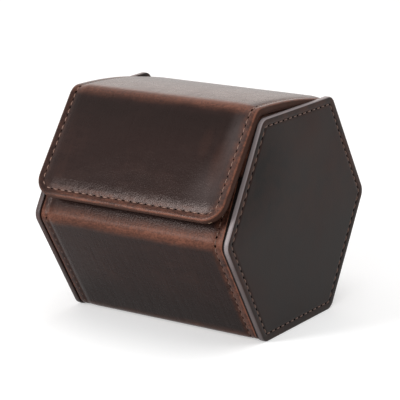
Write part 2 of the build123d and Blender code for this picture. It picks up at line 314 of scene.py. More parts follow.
TAIL = 12 * MM  # trimmed off the flap's leather below the back seam


def flap_section():
    """From below the back seam over the hinge, the top and the crease to the front edge."""
    flap = sizes("flap")
    meet = flap_angles()[2]
    section = Section(face_point(UPPER_BACK, BODY, back_seam() - TAIL), UPPER_BACK + QUARTER)
    section.run(flap.leg + TAIL).bend(flap.hinge, meet - UPPER_BACK)
    section.bend(flap.crown, QUARTER - meet)
    section.bend(flap.crease, flap.slope)
    section.run(2 * half_side(MIDDLE) - flap.shortfall)
    return section


def lining_section():
    """The flap's lining, from the end of the body's lining to the front edge."""
    case, flap = sizes("case"), sizes("flap")
    crown, _, meet = flap_angles()
    depth = case.leather + flap.board
    radius = flap.crown - depth
    wall = BODY - case.leather - case.board
    turn_radius = 2 * case.lining
    foot = face_point(UPPER_BACK, wall, back_seam())
    top_angle = meet + flap.leg / flap.crown
    shoulder = crown + radius * direction(top_angle)
    bridge = shoulder - foot
    climb = math.atan2(bridge.z, bridge.y)
    turn = top_angle + QUARTER - climb
    tangent = turn_radius * math.tan(turn / 2)
    section = Section(foot, climb)
    section.run(bridge.length - tangent).bend(turn_radius, turn)
    angle_left = QUARTER - top_angle - tangent / radius
    section.bend(radius, angle_left)
    section.bend(flap.crease - depth, flap.slope)
    section.run(2 * half_side(MIDDLE) - flap.shortfall)
    return section


# --- Modelling ---


def alone(*objects):
    """Leaves only these objects selected, the last one active, in object mode."""
    if bpy.context.object and bpy.context.object.mode != "OBJECT":
        bpy.ops.object.mode_set(mode="OBJECT")
    bpy.ops.object.select_all(action="DESELECT")
    for piece in objects:
        piece.select_set(True)
    bpy.context.view_layer.objects.active = objects[-1]


def select(piece, kind, test):
    """Selects the vertices, edges or faces of a piece in edit mode that pass a test."""
    bpy.ops.mesh.select_mode(type=kind)
    bpy.ops.mesh.select_all(action="DESELECT")
    bpy.ops.object.mode_set(mode="OBJECT")
    mesh = piece.data
    parts = {"VERT": mesh.vertices, "EDGE": mesh.edges, "FACE": mesh.polygons}[kind]
    for part in parts:
        part.select = bool(test(part))
    bpy.ops.object.mode_set(mode="EDIT")


@contextlib.contextmanager
def editing(piece, kind=None, test=None):
    """Edit mode on one piece, with all of it selected, or what passes a test."""
    alone(piece)
    bpy.ops.object.mode_set(mode="EDIT")
    if test:
        select(piece, kind, test)
    else:
        bpy.ops.mesh.select_all(action="SELECT")
    yield
    bpy.ops.object.mode_set(mode="OBJECT")


def settle(piece, scale=(1, 1, 1)):
    """Puts a piece's place and scale into its mesh."""
    alone(piece)
    piece.scale = scale
    bpy.ops.object.transform_apply(location=True, rotation=True, scale=True)
    return piece


def fresh(name, scale=(1, 1, 1)):
    """Names the object that an operator has just added, scales it and settles it."""
    piece = bpy.context.object
    piece.name = piece.data.name = name
    return settle(piece, scale)


def twin(piece, name):
    """A copy of a piece with its own mesh."""
    copy = piece.copy()
    copy.data = piece.data.copy()
    copy.name = copy.data.name = name
    bpy.context.scene.collection.objects.link(copy)
    return copy


def modify(piece, kind, **settings):
    """Adds a modifier with these settings and applies it."""
    alone(piece)
    modifier = piece.modifiers.new(kind.title(), kind)
    for name, value in settings.items():
        setattr(modifier, name, value)
    bpy.ops.object.modifier_apply(modifier=modifier.name)


def smooth(piece, degrees=38):
    """Shades a piece smooth, except over its hard edges."""
    alone(piece)
    bpy.ops.object.shade_smooth_by_angle(angle=math.radians(degrees))


LONG_BEND = 40 * MM  # a bend this long is made of twice as many steps


def bent_sheet(name, section, half_width, bend_steps):
    """The outside of a bent sheet: a strip extruded and spun along its section."""
    _, start, heading, first, _ = section.legs[0]
    middle = start + first / 2 * direction(heading)
    bpy.ops.object.select_all(action="DESELECT")
    bpy.ops.mesh.primitive_plane_add(size=1, location=middle, rotation=(heading, 0, 0))
    piece = fresh(name, (2 * half_width, first, 1))
    outward = outward_of(heading)
    front = section.at(first * ALMOST)[0]
    with editing(piece, "EDGE", lambda edge: all_near(piece, edge, front)):
        for _, start, heading, span, radius in section.legs[1:]:
            if radius == 0.0:
                move = span * direction(heading)
                bpy.ops.mesh.extrude_region_move(TRANSFORM_OT_translate={"value": move})
            else:
                centre = start - radius * outward_of(heading)
                steps = bend_steps if span < LONG_BEND else 2 * bend_steps
                bpy.ops.mesh.spin(steps=steps, angle=span / radius, center=centre, axis=(-1, 0, 0))
    face_out(piece, middle, outward)
    return piece


def face_out(piece, near, outward):
    """Makes a sheet's faces agree, and look outwards where it passes near a point."""
    with editing(piece):
        bpy.ops.mesh.normals_make_consistent(inside=False)
    face = min(piece.data.polygons, key=lambda face: (face.center - near).length)
    if face.normal.dot(outward) < 0:
        with editing(piece):
            bpy.ops.mesh.flip_normals()


def is_at(vertex, point):
    """Whether a vertex lies at a point of the cross-section."""
    return (Vector((0, vertex.co.y, vertex.co.z)) - point).length < TOUCH


def all_near(piece, edge, point):
    """Whether both ends of an edge along the case lie at a point of the cross-section."""
    return all(is_at(piece.data.vertices[index], point) for index in edge.vertices)


def round_corners(piece, point, radius, steps):
    """Rounds the two corners of a sheet's edge at a point of the cross-section."""
    with editing(piece, "VERT", lambda vertex: is_at(vertex, point)):
        bpy.ops.mesh.bevel(offset=radius, segments=steps, affect="VERTICES")


def press_rim(piece, stages):
    """Insets a whole sheet again and again, and raises or sinks what lies inside, in mm."""
    with editing(piece):
        bpy.ops.mesh.select_mode(type="FACE")
        for inset, rise in stages:
            bpy.ops.mesh.inset(thickness=inset * MM, depth=0, use_even_offset=True, use_boundary=True)
            if rise:
                bpy.ops.transform.shrink_fatten(value=rise * MM)


# Rims of the stitched leather, in mm: how far in each step goes, and how much it raises what
# is inside.
STITCHED_RIM = (
    (1.5, 0.0),
    (0.9, -0.05),
    (0.5, -0.20),
    (0.6, 0.0),
    (0.6, 0.26),
    (1.6, 0.30),
    (2.6, 0.26),
)
BODY_RIM = ((2.4, 0.0), (0.9, -0.05), (0.5, -0.20), (0.6, 0.0), (0.6, 0.24), (1.4, 0.08), (1.8, 0.04))


def rim_edges(mesh):
    """Vertex pairs of a sheet's open edges."""
    counts = {}
    for face in mesh.polygons:
        for key in face.edge_keys:
            counts[key] = counts.get(key, 0) + 1
    return {key for key, count in counts.items() if count == 1}


def thicken(piece, thickness, outer_round, inner_round, steps=3):
    """Gives a sheet its thickness, inwards, and rounds the edges of its rim."""
    rim = rim_edges(piece.data)
    count = len(piece.data.vertices)
    modify(piece, "SOLIDIFY", thickness=thickness, offset=-1, use_even_offset=True)
    for shift, radius in ((count, inner_round), (0, outer_round)):
        if radius:
            keys = {(a + shift, b + shift) for a, b in rim}
            with editing(piece, "EDGE", lambda edge: tuple(sorted(edge.vertices)) in keys):
                bpy.ops.mesh.bevel(offset=radius, segments=steps, affect="EDGES", clamp_overlap=True)


def mark(piece, place):
    """Stores at every vertex where it lies on the flat pattern and how far from its edge."""
    values = []
    for vertex in piece.data.vertices:
        values.extend(place(vertex.co))
    layer = piece.data.attributes.new("pattern", "FLOAT_VECTOR", "POINT")
    layer.data.foreach_set("vector", values)


def sheet_pattern(section, half_width, corner=0.0, seam=True):
    """Flat pattern of a bent sheet: across, along and the distance to its edge."""

    def place(point):
        along = section.locate(point)
        side = half_width - abs(point.x)
        end = section.length - along
        rim = min(side, end)
        if side < corner and end < corner:
            rim = corner - math.hypot(corner - side, corner - end)
        if seam:
            rim = min(rim, along)
        return point.x, along, max(rim, 0.0)

    return place


def cut(piece, point, normal, keep_outside):
    """Cuts a closed piece at a plane, keeps one side and closes it there."""
    with editing(piece):
        bpy.ops.mesh.bisect(
            plane_co=point, plane_no=normal, use_fill=True, clear_inner=keep_outside,
            clear_outer=not keep_outside,
        )


def from_solid(node, name, bevel, steps=2):
    """A merged copy of a CAD solid with its hard edges rounded."""
    piece = twin(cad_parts[node], name)
    for key in list(piece.keys()):
        del piece[key]
    piece.parent = None
    piece.data.materials.clear()
    with editing(piece):
        bpy.ops.mesh.remove_doubles(threshold=0.002 * MM)
        bpy.ops.mesh.dissolve_limited(angle_limit=math.radians(1.5))
        bpy.ops.mesh.select_all(action="DESELECT")
        bpy.ops.mesh.select_mode(type="EDGE")
        bpy.ops.mesh.edges_select_sharp(sharpness=math.radians(40))
        bpy.ops.mesh.bevel(offset=bevel, segments=steps, affect="EDGES", clamp_overlap=True)
    smooth(piece)
    return piece


# --- Finishes ---


class Wire:
    """A shader socket that does sums: an expression on wires adds its Math nodes."""

    def __init__(self, finish, socket):
        self.finish = finish
        self.socket = socket

    def _sum(self, operation, first, second):
        return self.finish.node("ShaderNodeMath", {"operation": operation}, {0: first, 1: second})

    def __add__(self, other):
        return self._sum("ADD", self, other)

    def __sub__(self, other):
        return self._sum("SUBTRACT", self, other)

    def __rsub__(self, other):
        return self._sum("SUBTRACT", other, self)

    def __mul__(self, other):
        return self._sum("MULTIPLY", self, other)

    def __abs__(self):
        return self._sum("ABSOLUTE", self, 0.0)

    __radd__ = __add__
    __rmul__ = __mul__

    def above(self, other):
        """The larger of two values."""
        return self._sum("MAXIMUM", self, other)

    def ramp(self, low, high):
        """Eases from 0 to 1 as the value goes from low to high, which may be the smaller."""
        return self.finish.node(
            "ShaderNodeMapRange", {"interpolation_type": "SMOOTHSTEP"},
            {"Value": self, "From Min": low, "From Max": high},
        )


class Finish:
    """A material, or the room's light, in the making."""

    def __init__(self, name, kind="materials"):
        self.material = getattr(bpy.data, kind).new(name)
        self.material.use_nodes = True
        self.tree = self.material.node_tree
        self.shader = self.tree.nodes.get("Principled BSDF") or self.tree.nodes["Background"]

    def node(self, kind, settings=None, inputs=None, output=0):
        """Adds a node with these settings and socket values, and gives one of its outputs."""
        made = self.tree.nodes.new(kind)
        for name, value in (settings or {}).items():
            setattr(made, name, value)
        for key, value in (inputs or {}).items():
            self.plug(made.inputs[key], value)
        return Wire(self, made.outputs[output])

    def plug(self, socket, value):
        """Links a wire to a socket, or sets the socket to a plain value."""
        if isinstance(value, Wire):
            self.tree.links.new(value.socket, socket)
        elif hasattr(value, "__len__") and len(value) == 3 and socket.type == "RGBA":
            socket.default_value = (*value, 1.0)
        else:
            socket.default_value = value

    def set(self, **values):
        """Sets sockets of the shader, with _ for a space in their names."""
        for name, value in values.items():
            self.plug(self.shader.inputs[name.replace("_", " ")], value)
        return self

    def attribute(self, name):
        """The vector stored on the mesh under a name."""
        return self.node("ShaderNodeAttribute", {"attribute_name": name}, output="Vector")

    def place(self):
        """The piece's own coordinates in metres."""
        return self.node("ShaderNodeTexCoord", output="Object")

    def parts(self, vector):
        """The three numbers of a vector."""
        split = self.node("ShaderNodeSeparateXYZ", inputs={0: vector})
        outputs = split.socket.node.outputs
        return [Wire(self, outputs[index]) for index in range(3)]

    def seen(self, *kinds):
        """1 for rays of these kinds, such as Camera, and 0 for the rest."""
        path = self.node("ShaderNodeLightPath").socket.node
        first, *others = (Wire(self, path.outputs[f"Is {kind} Ray"]) for kind in kinds)
        for other in others:
            first = first.above(other)
        return first

    def stretch(self, vector, x, y, z):
        """A vector with its three numbers multiplied."""
        return self.node("ShaderNodeVectorMath", {"operation": "MULTIPLY"}, {0: vector, 1: (x, y, z)})

    def near(self, vector, centre, reach):
        """Distance from a point of the flat pattern, 1 at the rim of an oval about it."""
        off = self.node(
            "ShaderNodeVectorMath", {"operation": "SUBTRACT"}, {0: vector, 1: (*centre, 0.0)}
        )
        oval = self.stretch(off, 1 / reach[0], 1 / reach[1], 0.0)
        return self.node("ShaderNodeVectorMath", {"operation": "LENGTH"}, {0: oval}, "Value")

    def noise(self, vector, scale, detail=2.0, roughness=0.5):
        """Soft noise from 0 to 1 with this many lumps to the metre."""
        return self.node(
            "ShaderNodeTexNoise",
            inputs={"Vector": vector, "Scale": scale, "Detail": detail, "Roughness": roughness},
            output="Fac",
        )

    def pebbles(self, vector, scale):
        """Cells like the grain of leather, 0 in their middles."""
        return self.node(
            "ShaderNodeTexVoronoi", inputs={"Vector": vector, "Scale": scale}, output="Distance"
        )

    def mix(self, share, first, second):
        """Goes from the first colour to the second."""
        colours = {0: share, 6: first, 7: second}
        return self.node("ShaderNodeMix", {"data_type": "RGBA"}, colours, output=2)

    def bumps(self, *layers):
        """Bumps the surface by layers, each a height from 0 to 1 and the distance that 1 gives."""
        below = {}
        for height, distance in layers:
            inputs = {"Strength": 1.0, "Distance": distance, "Height": height, **below}
            below = {"Normal": self.node("ShaderNodeBump", inputs=inputs)}
        return below["Normal"]


def waxed_leather(
    name,
    bends,
    rim_rub=1.0,
    shelter=None,
    patches=(),
    shine=0.16,
    seam=0.0,
    row=3.2 * MM,
    lag=0.0,
    deep=None,
    blooms=(),
):
    """Dark waxed leather that pales where it is bent: bends are (place, width, strength).

    The rims keep no rub up to shelter, under the flap: painted shade where the flap
    shadows them. The patches are ovals of rub with painted sheen: (middle, reach,
    strength). A seam is the width of a painted shadow on the rim beside another piece, on the
    right side only, and row is how far in the stitches are, less a lag on the left side. Deep is
    a band of painted shade: (begin, full, fade, end). The blooms are pale ovals of
    painted sheen: (middle, reach, strength).
    """
    colours = sizes("colours")
    finish = Finish(name)
    pattern = finish.attribute("pattern")
    across, along, rim = finish.parts(pattern)
    clouds = finish.noise(pattern, 24.0, 4.0, 0.6)
    grain = finish.noise(pattern, 1300.0, 3.0, 0.65)
    mottle = finish.noise(finish.stretch(pattern, 0.6, 1.3, 1.0), 190.0, 5.0, 0.7)
    strokes = finish.noise(finish.stretch(pattern, 1.0, 0.06, 1.0), 420.0, 4.0, 0.7)
    specks = grain.ramp(0.30, 0.70)
    colour = finish.mix(
        (0.6 * clouds + 0.4 * mottle).ramp(0.45, 0.75) * (0.2 + 0.8 * specks), colours.leather,
        colours.warm,
    )
    # Painted shade: a band darkened toward the awl-hole shadow colour.
    if deep is not None:
        begin, full, fade, end = deep
        painted_shade = along.ramp(begin, full) * along.ramp(end, fade)
        colour = finish.mix(painted_shade * 0.42, colour, colours.hole)
    # Painted sheen: pale ovals of sheen painted into the leather's colour.
    for middle, reach, strength in blooms:
        oval = finish.near(pattern, middle, reach).ramp(1.0, 0.0)
        bloom = oval * (strength * (0.2 + 0.8 * clouds + 0.8 * mottle))
        colour = finish.mix(bloom, colour, colours.bloom)
    worn = clouds.ramp(0.46, 0.70) * strokes.ramp(0.50, 0.72)
    creases = finish.noise(finish.stretch(pattern, 0.45, 1.0, 1.0), 1300.0, 4.0, 0.7)
    rubbed = worn * 0.04
    # Rubbed ovals, partly painted sheen.
    for middle, reach, strength in patches:
        oval = finish.near(pattern, middle, reach).ramp(1.0, 0.3)
        rubbed = rubbed.above(oval * (strength * (0.3 + strokes)))
    wander = (finish.noise(finish.stretch(pattern, 1.0, 0.4, 0.4), 34.0, 3.0, 0.6) - 0.5) * (4.0 * MM)
    for place, width, strength in bends:
        band = abs(along - place + wander + 0.01 * across).ramp(width, 0.0)
        patchy = (0.55 + 0.8 * creases.ramp(0.20, 0.80)) * (1.1 * mottle + 1.1 * clouds - 0.15)
        patchy = patchy * (0.72 + 0.3 * across.ramp(-15 * MM, 30 * MM))
        rubbed = rubbed.above(band * (strength * patchy))
    blotches = mottle.ramp(0.32, 0.68) * (0.4 + 0.9 * creases.ramp(0.35, 0.65))
    from_row = rim - row + lag * across.ramp(MM, -MM)
    edge_rub = from_row.ramp(3.0 * MM, -0.4 * MM) * (rim_rub * (0.08 + 0.62 * blotches))
    edge_rub = edge_rub * (0.3 + 0.7 * across.ramp(-46 * MM, -26 * MM))
    # A line along the rounded edge of the rim: rub and painted highlight, stronger to the right.
    corner = abs(rim - seam - 0.55 * MM).ramp(0.55 * MM, 0.1 * MM) * rim_rub
    # Painted shade: no rub on the rims under the flap, where the flap shadows them.
    if shelter is not None:
        edge_rub = edge_rub * along.ramp(shelter - 36 * MM, shelter - 8 * MM)
    highlight_to_right = 0.55 + 0.9 * across.ramp(-30 * MM, 30 * MM)
    edge_rub = edge_rub + corner * (0.25 + 0.75 * blotches) * highlight_to_right
    rubbed = rubbed.above(edge_rub) * (0.65 + 0.7 * specks)
    colour = finish.mix(rubbed, colour, colours.rub)
    # The rim's outermost strip: with a seam it is painted shadow beside the other piece, on the right
    # side only; without one it is the dyed cut edge.
    last = colours.hole if seam else colours.cut
    cut_edge_and_seam_shadow = rim.ramp(seam + 0.30 * MM, seam + 0.05 * MM)
    if seam:
        cut_edge_and_seam_shadow = cut_edge_and_seam_shadow * across.ramp(-MM, MM)
    colour = finish.mix(cut_edge_and_seam_shadow, colour, last)
    # Painted shade in the stitching groove.
    groove = abs(from_row).ramp(0.5 * MM, 0.2 * MM)
    colour = finish.mix(groove * 0.3, colour, colours.hole)
    pores = finish.pebbles(pattern, 1500.0)
    relief = finish.bumps(
        (clouds, 0.35 * MM), (strokes, 0.12 * MM), (mottle, 0.07 * MM), (pores, 0.035 * MM)
    )
    return finish.set(
        Base_Color=colour,
        Roughness=0.18 + 0.12 * mottle + 0.08 * strokes + 0.12 * rubbed + 0.35 * cut_edge_and_seam_shadow, Normal=relief,
        Specular_IOR_Level=shine, Specular_Tint=(1.0, 0.82, 0.77),
    ).material


def end_leather(name):
    """Smooth dark leather of the end panels, with painted edges, one rubbed patch, painted shade on
    their upper fronts, painted light on the edge paint and a painted shadow at the right joint.
    """
    colours = sizes("colours")
    finish = Finish(name)
    pattern = finish.attribute("pattern")
    across, _, height = finish.parts(finish.place())
    _, _, rim = finish.parts(pattern)
    upper = height.ramp(34 * MM, 54 * MM)
    clouds = finish.noise(pattern, 16.0, 3.0, 0.5)
    scuffs = finish.noise(pattern, 150.0, 4.0, 0.6)
    grain = finish.noise(pattern, 1300.0, 3.0, 0.65)
    colour = finish.mix(clouds.ramp(0.45, 0.75) * (0.5 + grain), colours.end, colours.warm)
    # Painted shade on the upper front part of each panel.
    shade = finish.near(pattern, (-40 * MM, 73 * MM), (42 * MM, 34 * MM)).ramp(1.0, 0.2)
    colour = finish.mix(shade * 0.9, colour, colours.hole)
    patch = finish.near(pattern, (12 * MM, 77 * MM), (30 * MM, 17 * MM)).ramp(1.0, 0.0)
    rubbed = patch * (0.02 + 0.12 * scuffs)
    worn_rim = rim.ramp(6.0 * MM, 2.5 * MM) * (0.45 + 0.55 * upper)
    rubbed = rubbed.above(worn_rim * (0.24 * scuffs.ramp(0.30, 0.65)))
    colour = finish.mix(rubbed * (0.2 + 1.6 * grain), colour, colours.rub)
    side = rim.ramp(0.50 * MM, 0.20 * MM)
    right = across.ramp(-MM, MM)
    # Painted light: the edge paint is lighter on the right panel and toward the top, and darker on
    # the left and below.
    edge_paint_and_light = (0.18 + 0.82 * right) * (0.36 + 0.80 * upper)
    colour = finish.mix(side * edge_paint_and_light * (0.7 + 0.5 * scuffs), colour, colours.edge)
    # Painted shadow where the right panel's edge meets the body.
    joint_shadow = right * across.ramp(BODY_HALF + 0.8 * MM, BODY_HALF + 0.4 * MM)
    colour = finish.mix(side * joint_shadow, colour, colours.hole)
    # Painted shade in the stitching groove.
    groove = abs(rim - PANEL_ROW).ramp(0.6 * MM, 0.2 * MM)
    colour = finish.mix(groove * 0.4, colour, colours.hole)
    relief = finish.bumps((clouds, 0.2 * MM), (finish.pebbles(pattern, 1700.0), 0.02 * MM))
    return finish.set(
        Base_Color=colour, Roughness=0.40 + 0.08 * scuffs - 0.12 * side, Normal=relief,
        Specular_IOR_Level=0.09,
    ).material


def suede(name):
    """Short-napped suede, brushed in patches."""
    colours = sizes("colours")
    finish = Finish(name)
    place = finish.place()
    brushed = finish.noise(place, 45.0, 3.0, 0.6)
    nap = finish.noise(place, 1600.0, 3.0, 0.7)
    deep = tuple(0.62 * part for part in colours.suede)
    colour = finish.mix((0.55 * brushed + 0.45 * nap).ramp(0.3, 0.7), deep, colours.suede)
    return finish.set(
        Base_Color=colour, Roughness=0.95, Normal=finish.bumps((brushed, 0.3 * MM), (nap, 0.12 * MM)),
        Sheen_Weight=0.35, Sheen_Roughness=0.5, Specular_IOR_Level=0.2,
    ).material


def plain_stock(name, shade, grain, depth, rough, metal=0.0, shine=0.5):
    """Board, foam, thread or metal: one colour broken up by fine grain."""
    finish = Finish(name)
    place = finish.place()
    specks = finish.noise(place, grain, 4.0, 0.65)
    dark = tuple(0.72 * part for part in shade)
    return finish.set(
        Base_Color=finish.mix(specks.ramp(0.3, 0.7), dark, shade), Roughness=rough + 0.1 * specks,
        Metallic=metal, Specular_IOR_Level=shine, Normal=finish.bumps((specks, depth)),
    ).material


def dress(piece, *materials):
    """Gives a piece its materials."""
    piece.data.materials.clear()
    for material in materials:
        piece.data.materials.append(material)


def once(make, name, *given, **named):
    """A material that several pieces share, made the first time it is asked for."""
    return bpy.data.materials.get(name) or make(name, *given, **named)


# --- Stitching ---


def rounded_path(corners):
    """Points round a closed line with rounded corners, which are (a, b, radius)."""
    steps = 8
    points = []
    for index, (a, b, radius) in enumerate(corners):
        here = Vector((a, b))
        into = (Vector(corners[index - 1][:2]) - here).normalized()
        out = (Vector(corners[(index + 1) % len(corners)][:2]) - here).normalized()
        reach = radius / math.tan(into.angle(out) / 2)
        for step in range(steps + 1):
            share = step / steps
            points.append(here + (1 - share) ** 2 * reach * into + share**2 * reach * out)
    return points + points[:1]


def spot(points, distance):
    """The point at this distance along a path."""
    for first, second in zip(points, points[1:]):
        span = (second - first).length
        if distance <= span and span > 0:
            return first.lerp(second, distance / span)
        distance -= span
    return points[-1]


def row_round(corners):
    """A whole number of stitches round a path: the middle of each and a point just ahead."""
    points = rounded_path(corners)
    total = sum((b - a).length for a, b in zip(points, points[1:]))
    count = max(1, round(total / sizes("stitch").pitch))
    step = total / count
    nudge = 0.1 * step
    return [
        (spot(points, (index + 0.5) * step - nudge), spot(points, (index + 0.5) * step + nudge))
        for index in range(count)
    ]


def one_stitch(kind="thread", tone=1.0):
    """One stitch and the awl hole beside it, lying along X in a groove at z = 0."""
    stitch, colours = sizes("stitch"), sizes("colours")
    dyed = tuple(tone * part for part in colours.thread)
    bpy.ops.object.select_all(action="DESELECT")
    bpy.ops.mesh.primitive_uv_sphere_add(segments=8, ring_count=7, radius=1, rotation=(0, QUARTER, 0))
    thread = settle(fresh("stitch"), (0.56 * stitch.thread, stitch.width / 2, stitch.rise))
    with editing(thread, "VERT", lambda vertex: abs(vertex.co.x) > 0.3 * stitch.thread):
        bpy.ops.transform.translate(value=(0, 0, -0.5 * stitch.rise))
    dress(thread, once(plain_stock, kind, dyed, 2500.0, 0.05 * MM, 0.33, 0.0, 0.4 * tone))
    # The awl hole is a dark disc on the leather: painted shadow in the hole.
    bpy.ops.object.select_all(action="DESELECT")
    bpy.ops.mesh.primitive_uv_sphere_add(
        segments=8, ring_count=4, radius=1, location=(stitch.pitch / 2, 0, 0)
    )
    hole = fresh("hole", (stitch.hole, 0.85 * stitch.hole, 0.22 * stitch.rise))
    dress(hole, once(plain_stock, "awl hole", colours.hole, 2500.0, 0.02 * MM, 0.9, 0.0, 0.0))
    for part in (thread, hole):
        smooth(part, 80)
    alone(hole, thread)
    bpy.ops.object.join()
    return thread


def stitch_row(name, stitch, spots, place):
    """Copies one stitch to each spot of a row and joins them into one piece."""
    copies = []
    for here, ahead in spots:
        base, outward = place(here)
        along = (place(ahead)[0] - base).normalized()
        across = outward.cross(along).normalized()
        turn = Matrix((along, across, along.cross(across))).transposed().to_4x4()
        copy = twin(stitch, "stitch copy")
        copy.data.transform(Matrix.Translation(base) @ turn)
        copies.append(copy)
    alone(*copies)
    bpy.ops.object.join()
    row = bpy.context.object
    row.name = row.data.name = name
    return row


def on_sheet(section, height, side=1):
    """Places a spot of the flat pattern in space, on either side of the sheet."""

    def place(here):
        point, heading = section.at(here.y)
        outward = outward_of(heading)
        return Vector((here.x, 0, 0)) + point + height * outward, side * outward

    return place


# --- Pieces ---

# Rim of an end panel, written like the other rims.
PANEL_RIM = ((2.0, 0.0), (0.7, -0.10), (0.3, -0.20), (0.6, 0.0), (0.5, 0.20), (0.5, 0.06), (0.2, 0.0))
PANEL_ROW = 3.3 * MM  # the panels' stitches, inside their edges
GROOVE = -0.30 * MM  # bottom of the stitching groove, below the leather's outside

# Where the leather's bends are rubbed pale: how far past the middle of the bend, and how far to
# either side, in mm, and how strongly.
BODY_RUB = ((-1.1, 5.8, 0.9), (0, 5, 0.5), (0, 5, 0.5), (0, 6, 0.9))
FLAP_RUB = ((0, 7, 0.6), (-1.2, 5.2, 0.95))
# Where painted shade darkens the leather near a bend, in mm past its middle: begin, full, fade and
# end.
BODY_PAINTED_SHADE = (-26, -12, 5, 8)
FLAP_PAINTED_SHADE = (3, 6, 6, 22)
# Ovals on the flap's front: how far right of its middle and past the crease, and how far they
# reach both ways, in mm, and how strong they are. The streaks are rub with painted sheen, and the
# other ovals are painted sheen.
FLAP_RUB_AND_SHEEN_STREAKS = ((38, 22, 5, 15, 0.10), (29, 14, 4, 9, 0.05))
FLAP_PAINTED_SHEENS = ((42, 11, 7, 24, 0.32), (39, 34, 16, 17, 0.23))


def rubbed_bends(middles, rubs):
    """Place, width and strength of each bend's rubbed band."""
    return [
        (middle + past * MM, width * MM, strength)
        for middle, (past, width, strength) in zip(middles, rubs)
    ]


def ovals(marks, start):
    """Middle, reach and strength of each oval, counted along the sheet from a start."""
    return [
        ((right * MM, start + past * MM), (wide * MM, long * MM), strength)
        for right, past, wide, long, strength in marks
    ]


def hexagon_pattern(point):
    """Flat pattern of an end panel: its two directions and the distance to its edge."""
    corner = sizes("case").corner
    arm = Vector((0, point.y, point.z - MIDDLE))
    side = max((direction(UPPER_BACK + step * FOLD) for step in range(6)), key=arm.dot)
    out = arm.dot(side)
    along = math.sqrt(max(arm.length_squared - out * out, 0.0)) - half_side(MIDDLE - corner)
    rim = MIDDLE - out
    if along > 0 and out > MIDDLE - corner:
        rim = corner - math.hypot(out - MIDDLE + corner, along)
    return point.y, point.z, max(rim, 0.0)


def mirrored(piece, name):
    """A copy of a closed piece on the other side of the case."""
    copy = settle(twin(piece, name), (-1, 1, 1))
    with editing(copy):
        bpy.ops.mesh.normals_make_consistent(inside=False)
    return copy


class WATCHCASE_OT_end_panels(bpy.types.Operator):
    """Add the two end panels and the stitching round them"""

    bl_idname = "watch_case.end_panels"
    bl_label = "End Panels"

    def execute(self, context):
        case = sizes("case")
        bpy.ops.object.select_all(action="DESELECT")
        bpy.ops.mesh.primitive_circle_add(
            vertices=6, radius=2 * half_side(MIDDLE), fill_type="NGON",
            location=(CASE_HALF, 0, MIDDLE), rotation=(0, QUARTER, 0),
        )
        panel = fresh("right_end_panel")
        with editing(panel):
            bpy.ops.mesh.bevel(offset=half_side(case.corner), segments=6, affect="VERTICES")
        press_rim(panel, PANEL_RIM)
        thicken(panel, CASE_HALF - BODY_HALF, 0.5 * MM, 0.3 * MM)
        mark(panel, hexagon_pattern)
        smooth(panel)
        dress(panel, once(end_leather, "end panel leather"))
        stitches = one_stitch("end thread", 0.84)
        inner = MIDDLE - PANEL_ROW
        corners = [
            (
                2 * half_side(inner) * math.cos(step * FOLD),
                MIDDLE + 2 * half_side(inner) * math.sin(step * FOLD), case.corner - PANEL_ROW,
            )
            for step in range(6)
        ]
        spots = row_round(corners)
        for side, name in ((1, "right"), (-1, "left")):
            piece = panel if side > 0 else mirrored(panel, "left_end_panel")
            if side < 0:
                raise_corner(piece)
            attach(piece, "case")
            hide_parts(name + "_end_leather", name + "_end_board")
            row = stitch_row(
                name + "_end_stitches",
                stitches,
                spots,
                lambda here: (
                    Vector((side * (CASE_HALF + GROOVE), here.x, here.y)), Vector((side, 0, 0)),
                ),
            )
            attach(row, "case")
        bpy.data.objects.remove(stitches)
        return {"FINISHED"}


CORNER_RISE = 0.8 * MM  # how far the left panel's top back corner stands above the other's
CORNER_BACK = (2 * MM, 22 * MM)  # where along Y the rise begins, and over how far it grows
CORNER_HIGH = (70 * MM, 25 * MM)  # the same along Z


def raise_corner(panel):
    """Lifts an end panel's top back corner, which stands a hair above the flap."""

    def share(place, begin, span):
        return min(max((place - begin) / span, 0.0), 1.0)

    for vertex in panel.data.vertices:
        back, high = share(vertex.co.y, *CORNER_BACK), share(vertex.co.z, *CORNER_HIGH)
        vertex.co.z += CORNER_RISE * back * high


def row_in_box(left, right, back, front, corner=0.0):
    """Stitches round a box on the flat pattern, with larger corners at its front."""
    turn = 1.5 * MM
    large = max(corner, turn)
    return row_round(
        ((left, back, turn), (left, front, large), (right, front, large), (right, back, turn))
    )


